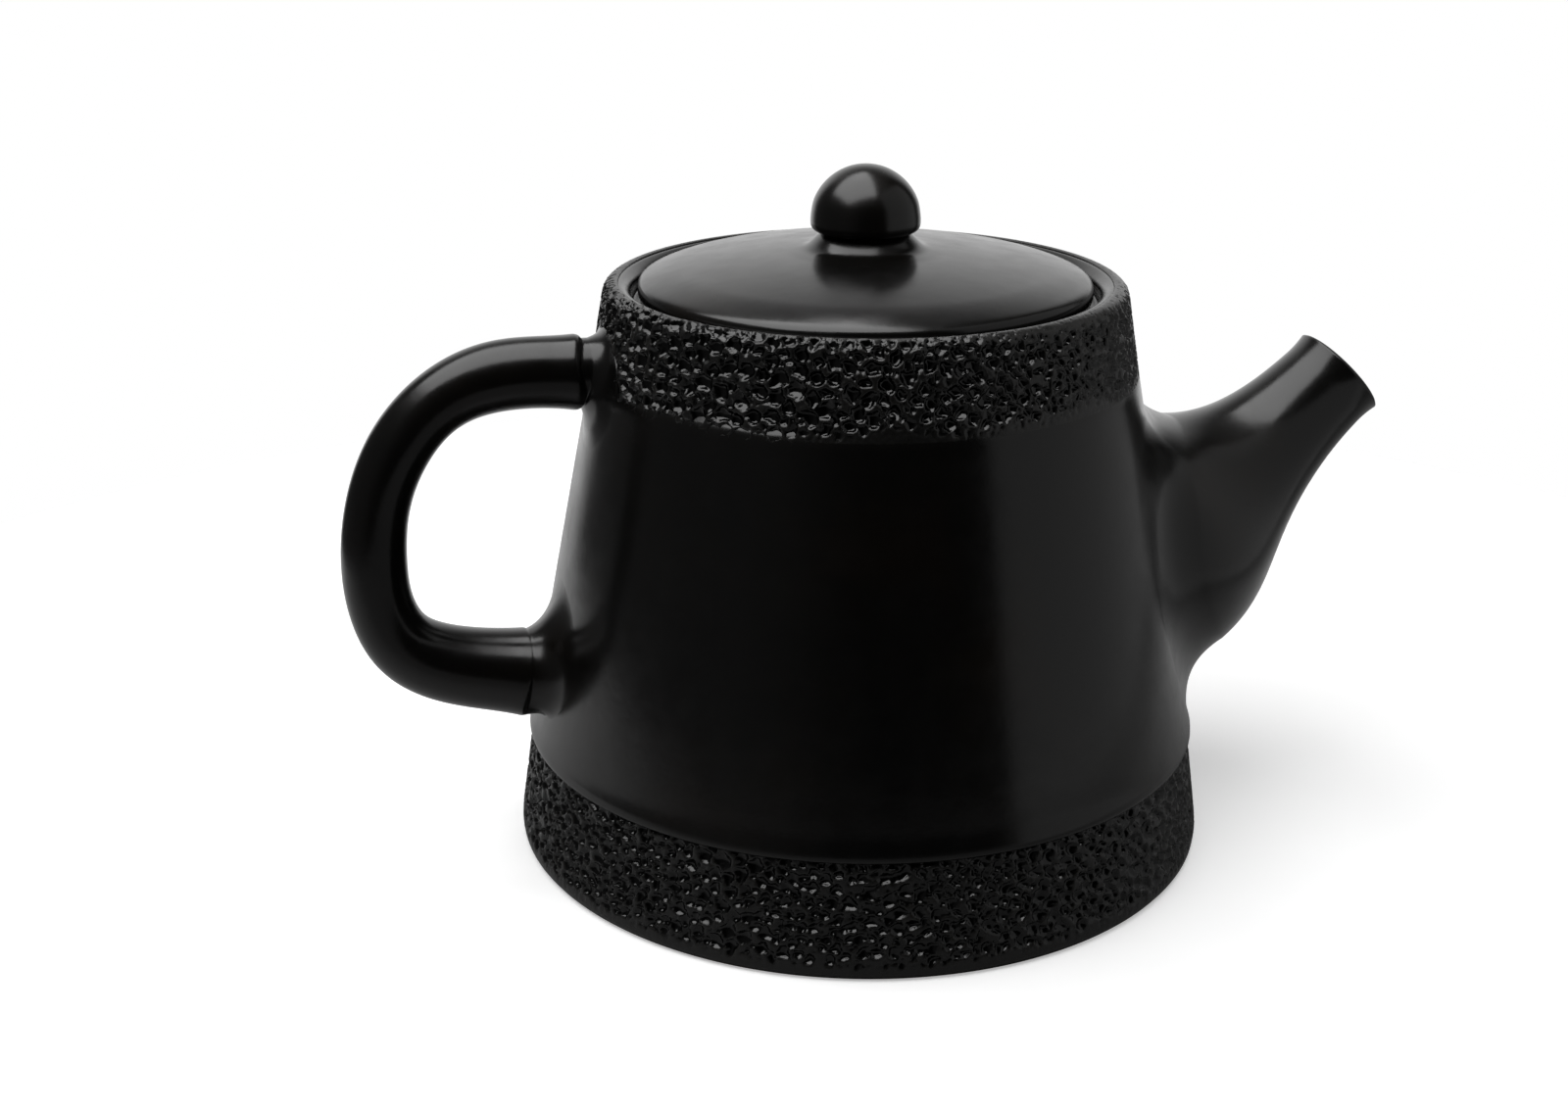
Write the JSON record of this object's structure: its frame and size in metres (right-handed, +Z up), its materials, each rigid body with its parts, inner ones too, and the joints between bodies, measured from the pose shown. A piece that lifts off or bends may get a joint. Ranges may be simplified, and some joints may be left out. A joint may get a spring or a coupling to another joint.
{
  "type": "teapot",
  "caption": "Black-glazed stoneware teapot: tapering body with pitted bands at rim and base, loop handle, upswept spout and a domed lift-off lid with a ball knob.",
  "frame": {"origin": "centre of the circle that the foot ring stands on, in the resting plane", "axes": "+Z up along the pot's turning axis, +X towards the spout, -X towards the handle"},
  "size_m": [0.2137, 0.1396, 0.1344],
  "materials": {
    "satin_glaze": "satin black glaze",
    "pitted_glaze": "black glaze pooled in craters, matt on the ridges",
    "foot_clay": "satin glaze outside, bare dark clay underneath"
  },
  "bodies": {
    "pot": {"body_wall": "satin_glaze", "floor_disc": "satin_glaze", "rim_ring": "satin_glaze", "upper_pitted_band": "pitted_glaze", "lower_pitted_band": "pitted_glaze", "foot_ring": "foot_clay", "spout": "satin_glaze", "spout_strainer": "satin_glaze", "handle": "satin_glaze"},
    "lid_skirt": {"lid_flange": "satin_glaze"},
    "lid_top": {"lid_plate": "satin_glaze", "lid_knob": "satin_glaze"}
  },
  "joints": [
    {"name": "lid_lift", "type": "slide", "parent": "pot", "child": "lid_skirt", "axis": [0, 0, 1], "range_m": [0, 0.06]},
    {"name": "lid_turn", "type": "hinge", "parent": "lid_skirt", "child": "lid_top", "pos_m": [0, 0, 0.1145], "axis": [0, 0, 1], "continuous": true}
  ]
}
